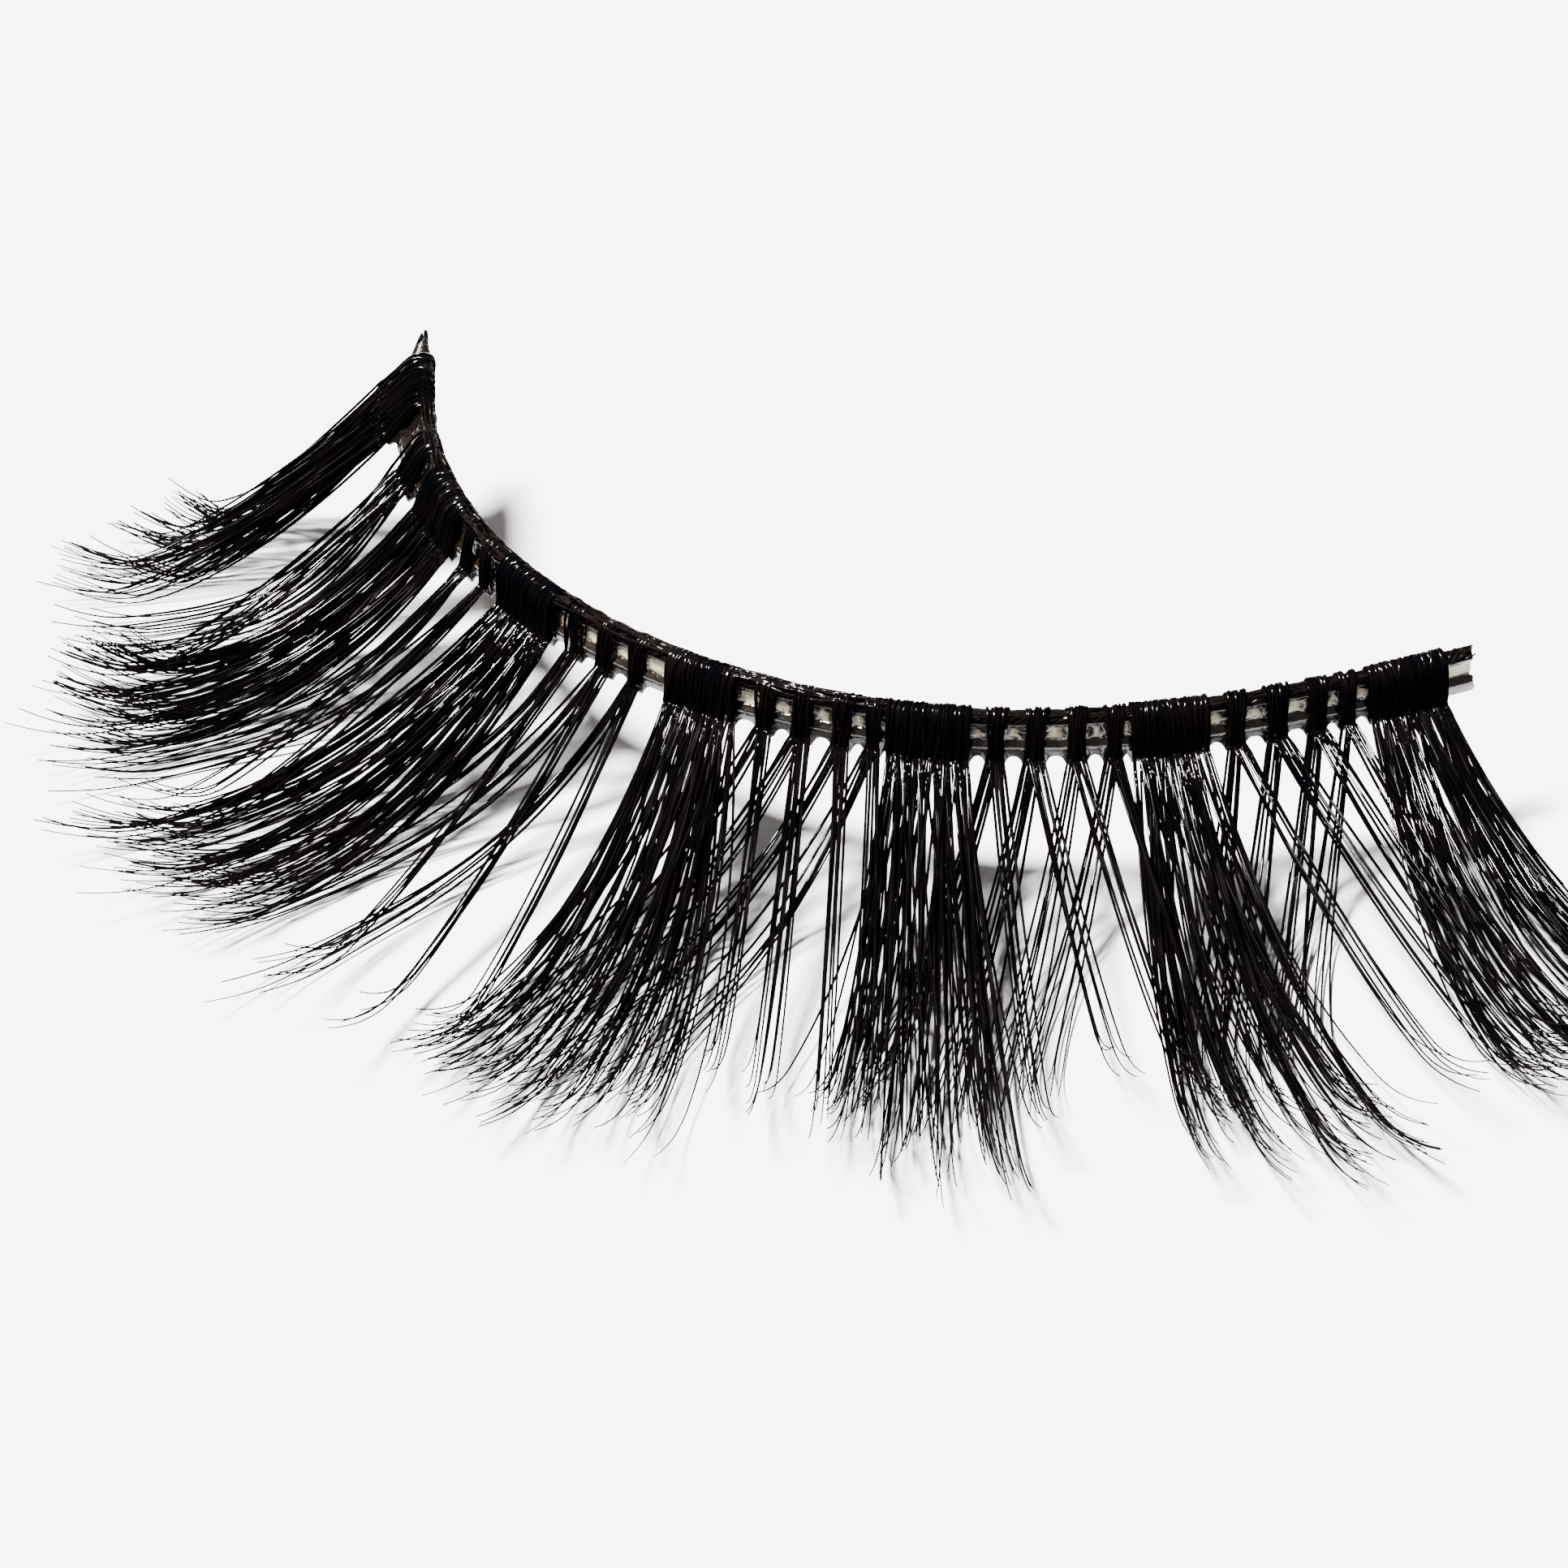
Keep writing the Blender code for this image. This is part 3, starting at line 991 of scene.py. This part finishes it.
@dataclass(frozen=True)
class Bunch:
    """A small bunch: a few fibres swept to the left under the rest, and a few to the right."""

    number: int
    place: float
    width: float
    angles: Span
    reaches: Span
    fibres: tuple[int, int]

    SEED = 300

    # The left side's value, and then the right one's
    LAYERS = (LOWER, UPPER)
    FANS = ((2.0, 3.2), (-1.4, 2.0))
    SLANTS = (0.22, -0.07)
    SHIFTS = (-0.08, 0.08)
    BENDS = (12.0, 0.0)

    # How the fibres vary
    ROOT_OUT = 0.25
    ROOT_PART = 0.84
    TIP_SPREAD = 0.06
    LENGTHS = (0.84, 1.0)
    TURN_SPREAD = 0.3
    RADII = (0.029, 0.037)

    def sweep(self, rng: Rng, side: int) -> Fibres:
        """Choose the fibres of one side, which fan out a little on their way to their tips.

        Args:
            rng: The seeded source.
            side: 0 for the left side and 1 for the right one.

        Returns:
            The fibres.
        """
        count = self.fibres[side]
        layer = self.LAYERS[side]
        step = (np.arange(count) + 0.5) / count
        place = self.place + self.width * ((step - 0.5) * self.ROOT_PART + self.SHIFTS[side])
        start = BAND.point(place, self.ROOT_OUT, ROOT_BOTTOM)[:, :2]
        _, straight_out = BAND.plan(self.place)
        fan = rng.uniform(*self.FANS[side]) * (step - 0.5) * 2.0
        turn = self.angles[side] + fan + rng.normal(0.0, self.TURN_SPREAD, count)
        length = self.reaches[side] * rng.uniform(*self.LENGTHS, count)
        tip = start + length[:, None] * towards(straight_out + np.radians(turn))
        return Fibres(
            place=place,
            slant=self.SLANTS[side] + rng.normal(0.0, 0.06, count),
            depth=rng.uniform(0.0, 0.8, count),
            tip=tip + rng.normal(0.0, self.TIP_SPREAD, tip.shape),
            bend=np.radians(self.BENDS[side] + rng.normal(0.0, 2.0, count)),
            belly=layer.belly + rng.uniform(0.0, 0.12, count),
            steepness=layer.steepness * rng.uniform(0.9, 1.1, count),
            tip_rise=layer.tip_rise * rng.uniform(0.7, 1.2, count),
            radius=rng.uniform(*self.RADII, count),
        )

    def build(self, material: Material) -> None:
        """Place the bunch's piece.

        Args:
            material: The fibres' material.
        """
        rng = np.random.default_rng(self.SEED + self.number)
        fibres = Fibres.joined([self.sweep(rng, 0), self.sweep(rng, 1)])
        mesh = fibres.shell(rng).mesh(f"bunch_fibres_{self.number:02d}")
        place_piece(mesh, material, f"small_bunch_{self.number:02d}")


BUNCHES = tuple(
    Bunch(number, *row)
    for number, row in enumerate((
        (-18.20, 1.10, (2, 18), (7.8, 7.6), (13, 12)),
        (-14.65, 0.38, (-6, 14), (9.6, 9.8), (6, 5)),
        (-13.90, 0.36, (-10, 14), (10.2, 11), (6, 5)),
        (-10.68, 0.42, (-18, 14), (10.8, 12.4), (6, 6)),
        (-9.77, 0.44, (-14, 16), (11.6, 13), (6, 6)),
        (-8.92, 0.38, (-9, 18), (12.4, 13.2), (6, 6)),
        (-5.67, 0.40, (-16, 18), (11.6, 11.4), (6, 6)),
        (-4.83, 0.48, (-18, 16), (11.6, 12), (6, 8)),
        (-3.94, 0.42, (-20, 15), (11.6, 12.6), (6, 6)),
        (-3.23, 0.34, (-18, 13), (11, 12.6), (6, 5)),
        (-0.63, 0.38, (-16, 8), (9.8, 11.4), (6, 6)),
        (0.20, 0.46, (-12, 11), (10.6, 10.4), (7, 6)),
        (1.10, 0.42, (-14, 11), (10.2, 10.8), (6, 6)),
        (1.88, 0.38, (-18, 8), (9.6, 11.8), (6, 5)),
        (4.53, 0.42, (-20, 11), (9.8, 12), (6, 6)),
        (5.44, 0.46, (-22, 12), (9.6, 13.2), (7, 7)),
        (6.35, 0.42, (-24, 10), (9, 12.2), (6, 6)),
        (7.05, 0.34, (-26, 8), (9, 10.4), (5, 5)),
    ), start=1)
)


@dataclass(frozen=True)
class Thread:
    """One of the band's threads, of strands twisted together."""

    name: str
    node: str
    height: float
    radius: float
    seed: int
    bound: bool

    STRANDS = 3
    FILAMENTS = 9
    PITCH = 1.1
    FILAMENT_PITCHES = (0.8, 1.6)
    STEP = 0.05
    SIDES = 6

    # A strand's value, and then a filament's, in radii and radians
    AWAY = (0.54, 1.02)
    THICKNESS = (0.58, 0.17)
    WANDER = (0.5, 1.6)

    # The ends: how far single strands end from the right one, and the left point's size and height
    RAGGED = (-0.06, 0.05)
    POINT_SHARE = 0.3
    POINT_SPREAD = 0.15

    # The binding yarns: how many, from where to where, where they sink, and their angles
    BINDERS = 9
    BINDING_ENDS = (-21.4, 9.4)
    BINDING_SINKS = (-4.0, -1.0)
    BINDING_ANGLES = (20.0, 125.0)
    BINDING_WANDER = 26.0

    def binding(self, rng: Rng) -> Shell:
        """Fine yarns that lie along the top, over the roots, close together on the left.

        Each wanders between two angles round the thread's middle, just outside the roots, and sinks
        towards the thread on the right, where the roots' tops stand out.

        Args:
            rng: The seeded source.

        Returns:
            The yarns, as tubes.
        """
        place = np.arange(*self.BINDING_ENDS, self.STEP)
        count = (self.BINDERS, len(place))
        step = (np.arange(self.BINDERS)[:, None] + 0.5) / self.BINDERS
        wander = self.BINDING_WANDER * smooth_noise(rng, count, 22)
        angle = np.radians(between(self.BINDING_ANGLES, step) + wander)
        sunk = within(place, self.BINDING_SINKS)
        away = self.radius + 0.085 - 0.075 * sunk
        away = away + 0.022 * smooth_noise(rng, count, 7)
        size = 0.026 + 0.006 * smooth_noise(rng, count, 5)
        height = self.height + away * np.sin(angle)
        centres = BAND.point(np.broadcast_to(place, count), away * np.cos(angle), height)
        return Shell.tubes(centres, size, UPRIGHT, self.SIDES, {"loose": np.ones(count)})

    def build(self, material: Material) -> None:
        """Lay the strands and the loose filaments round them, and fuse them into the thread's piece.

        At a place s strand k is at the angle 2 pi (s / pitch + k / strands) round the thread's
        middle, which wanders a little, and both its distance from there and its own radius shrink
        towards the left end, where the threads draw together.

        Args:
            material: The thread's material.
        """
        rng = np.random.default_rng(self.seed)
        strands = self.STRANDS + self.FILAMENTS
        fine = (np.arange(strands) >= self.STRANDS)[:, None]
        away, thickness, wander = (
            np.where(fine, filament, strand) for strand, filament in (self.AWAY, self.THICKNESS, self.WANDER)
        )
        place = np.arange(BAND_LEFT, BAND_RIGHT, self.STEP)
        count = (strands, len(place))
        ragged = rng.uniform(*self.RAGGED, strands)
        place = place + ragged[:, None] * np.clip(place - BAND_RIGHT + 1.0, 0.0, 1.0)
        size = BAND.growth(place, self.POINT_SHARE)
        pitch = self.PITCH * np.where(fine, rng.uniform(*self.FILAMENT_PITCHES, (strands, 1)), 1.0)
        turn = 2.0 * math.pi * (place / pitch + np.arange(strands)[:, None] / self.STRANDS)
        turn = turn + wander * smooth_noise(rng, count, 14)
        off = away * self.radius * size * (1.0 + 0.12 * smooth_noise(rng, count, 9))
        middle = UPPER_HEIGHT - (UPPER_HEIGHT - self.height) * BAND.growth(place, self.POINT_SPREAD)
        centres = BAND.point(place, off * np.cos(turn), middle + off * np.sin(turn))
        radii = thickness * self.radius * size * (1.0 + 0.1 * smooth_noise(rng, count, 4))
        loose = np.broadcast_to(fine, count).astype(float)
        shell = Shell.tubes(centres, radii, UPRIGHT, self.SIDES, {"loose": loose})
        if self.bound:
            shell = shell.joined(self.binding(rng))
        place_piece(shell.mesh(self.name), material, self.node)


THREADS = (
    Thread("upper_strands", "upper_thread", UPPER_HEIGHT, UPPER_RADIUS, 11, True),
    Thread("lower_strands", "lower_thread", LOWER_HEIGHT, LOWER_RADIUS, 12, False),
)


@dataclass(frozen=True)
class GlueWeb:
    """The dried glue: a window between each two roots, a skin on the lower thread, and webs below it."""

    step: float = 0.045
    columns: int = 30
    point_spread: float = 0.15
    ragged: float = 0.07
    ragged_length: float = 0.5
    web_drop: float = 0.28
    web_reach: float = 0.20
    web_part: Span = (0.82, 1.0)
    web_out: float = 0.05
    window: Span = (3.66, 4.13)
    rim: float = 0.22
    clear_places: Span = (-16.0, -11.0)
    half: float = 0.022
    thicker: float = 0.06
    thick_heights: Span = (3.5, 3.65)
    skin: float = 0.1
    skin_reach: float = 0.14
    skin_top: float = 3.64
    skin_places: Span = (-18.0, -13.0)

    SEED = 21

    # From the upper thread down over the lower one: share of the way, outward, height
    SECTION = (
        (0.00, 0.040, 4.17),
        (0.12, 0.000, 4.08),
        (0.30, 0.000, 3.90),
        (0.46, 0.000, 3.73),
        (0.56, 0.050, 3.65),
        (0.68, 0.135, 3.58),
        (0.80, 0.150, 3.50),
        (0.90, 0.125, 3.42),
        (1.00, 0.110, 3.37),
    )

    def gaps(self, place: Array) -> Array:
        """How far each place is from the nearest root: 0 under one.

        Args:
            place: Places on the band.

        Returns:
            Distances in millimetres.
        """
        roots = [(root.place, root.width / 2.0) for root in (*CLUSTERS, *BUNCHES)]
        middle, half = np.array(roots).T
        return np.clip(np.abs(place - middle[:, None]) - half[:, None], 0.0, None).min(axis=0)

    def build(self, material: Material) -> None:
        """Lay the glue along the band.

        The sheet is thin where it is far from both a root and a thread, and its thickness rises
        towards them as a meniscus does, with 1 - thin. Its bottom edge is a round arch between each
        two roots: within the reach r of a root it drops by 1 - sqrt(1 - (1 - gap / r)^2).

        Args:
            material: The glue's material.
        """
        rng = np.random.default_rng(self.SEED)
        line = np.arange(BAND_LEFT + 0.3, BAND_RIGHT - 0.04, self.step)
        place = line[:, None]
        down = np.linspace(0.0, 1.0, self.columns)
        share, outward, height = np.array(self.SECTION).T
        out = np.interp(down, share, outward)
        level = np.interp(down, share, height)
        gap = self.gaps(line)[:, None]
        near = 1.0 - np.clip(gap / self.web_reach, 0.0, 1.0)
        web = self.web_drop * (1.0 - np.sqrt(1.0 - near * near * 0.98))
        low = within(down, self.web_part)
        spread = BAND.growth(line, self.point_spread)[:, None]
        cut = self.ragged * smooth_noise(rng, (1, self.columns), 5)
        places = place + cut * within(place, (BAND_RIGHT - self.ragged_length, BAND_RIGHT))
        outs = (out + self.web_out * low * web / self.web_drop) * spread
        levels = UPPER_HEIGHT - (UPPER_HEIGHT - level + web * low) * spread
        grid = (self.columns, len(line))
        bottom, top = self.window
        bent = level + 0.05 * smooth_noise(rng, grid, 8).T
        rim = self.rim * (1.0 + 0.45 * smooth_noise(rng, (1, len(line)), 19).T)
        inside = np.clip(np.minimum(top - bent, bent - bottom) / rim, 0.0, 1.0)
        shut = np.clip((gap + 0.03 * smooth_noise(rng, grid, 6).T) / rim, 0.0, 1.0)
        thin = 1.0 - np.hypot(1.0 - shut, 1.0 - inside)
        thin = np.clip(thin * 1.2, 0.0, 1.0) * within(place, self.clear_places)
        half = self.half + self.thicker * (1.0 - thin) * within(level, self.thick_heights)
        half = half * (1.0 + 0.15 * smooth_noise(rng, half.shape, 4)) * spread
        skin = self.skin * np.clip(gap / self.skin_reach, 0.0, 1.0) * (level < self.skin_top)
        skin = skin * within(place, self.skin_places)
        shades = {"thin": np.maximum(thin, skin) * np.clip(spread * 2.0 - 1.0, 0.0, 1.0)}
        mesh = Shell.sheet(BAND.point(places, outs, levels), half, shades).mesh("glue_web")
        place_piece(mesh, material, "glue_film")


class Studio:
    """The floor, the lights and the camera."""

    FLOOR_SIDE = 0.6
    FLOOR_CELLS = 12
    LIGHT_TILT = (8.0, -24.5)
    LIGHT_POWER = 30.0
    LIGHT_WIDTH = 12.0
    LIGHT_COLOUR = (1.0, 0.985, 0.965)
    SURROUND_COLOUR = (1.0, 0.93, 0.90, 1.0)
    SURROUND_POWER = 0.24
    CLIPPING = (0.01, 10.0)

    def floor(self) -> None:
        """Lay the board that the strip stands on."""
        line = np.linspace(-0.5, 0.5, self.FLOOR_CELLS + 1) * self.FLOOR_SIDE / MM
        grid = np.stack([*np.meshgrid(line, line, indexing="ij"), np.zeros((len(line), len(line)))], axis=-1)
        index = np.arange(len(line) ** 2).reshape(len(line), len(line))
        cells = np.stack([index[:-1, :-1], index[1:, :-1], index[1:, 1:], index[:-1, 1:]], axis=-1)
        mesh = Shell(grid.reshape(-1, 3), cells.reshape(-1, 4).tolist(), {}).mesh("floor_board")
        mesh.materials.append(FloorFinish().material())
        board = bpy.data.objects.new("floor_board", mesh)
        bpy.context.scene.collection.objects.link(board)

    def lights(self) -> None:
        """Hang a wide key light high on the left, in an even pale surround."""
        lamp = bpy.data.lights.new("key_light", "SUN")
        lamp.energy = self.LIGHT_POWER
        lamp.angle = math.radians(self.LIGHT_WIDTH)
        lamp.color = self.LIGHT_COLOUR
        key = bpy.data.objects.new("key_light", lamp)
        key.rotation_euler = (*np.radians(self.LIGHT_TILT), 0.0)
        bpy.context.scene.collection.objects.link(key)
        world = bpy.data.worlds.new("studio")
        world.use_nodes = True
        back = world.node_tree.nodes["Background"]
        back.inputs["Color"].default_value = self.SURROUND_COLOUR
        back.inputs["Strength"].default_value = self.SURROUND_POWER
        bpy.context.scene.world = world

    def camera(self) -> None:
        """Set up the camera, at the photograph's height and framing."""
        data = bpy.data.cameras.new("camera")
        data.sensor_width = SENSOR_WIDTH
        data.lens = CAMERA_DISTANCE * SENSOR_WIDTH / (IMAGE_SIDE / PIXELS_PER_MM * MM)
        data.clip_start, data.clip_end = self.CLIPPING
        camera = bpy.data.objects.new("camera", data)
        tilt = math.radians(VIEW_ELEVATION)
        back = np.array([0.0, -math.cos(tilt), math.sin(tilt)])
        camera.location = (np.array(VIEW_CENTRE) * MM + back * CAMERA_DISTANCE).tolist()
        camera.rotation_euler = (math.pi / 2 - tilt, 0.0, 0.0)
        bpy.context.scene.collection.objects.link(camera)
        bpy.context.scene.camera = camera


def main() -> None:
    """Build the studio and each piece in order."""
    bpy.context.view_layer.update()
    studio = Studio()
    studio.camera()
    studio.floor()
    studio.lights()
    fibre = FibreFinish().material()
    thread = ThreadFinish().material()
    glue = GlueFinish().material()
    for part in THREADS:
        part.build(thread)
    GlueWeb().build(glue)
    for group in (*CLUSTERS, *BUNCHES):
        group.build(fibre)


if __name__ == "__main__":
    main()
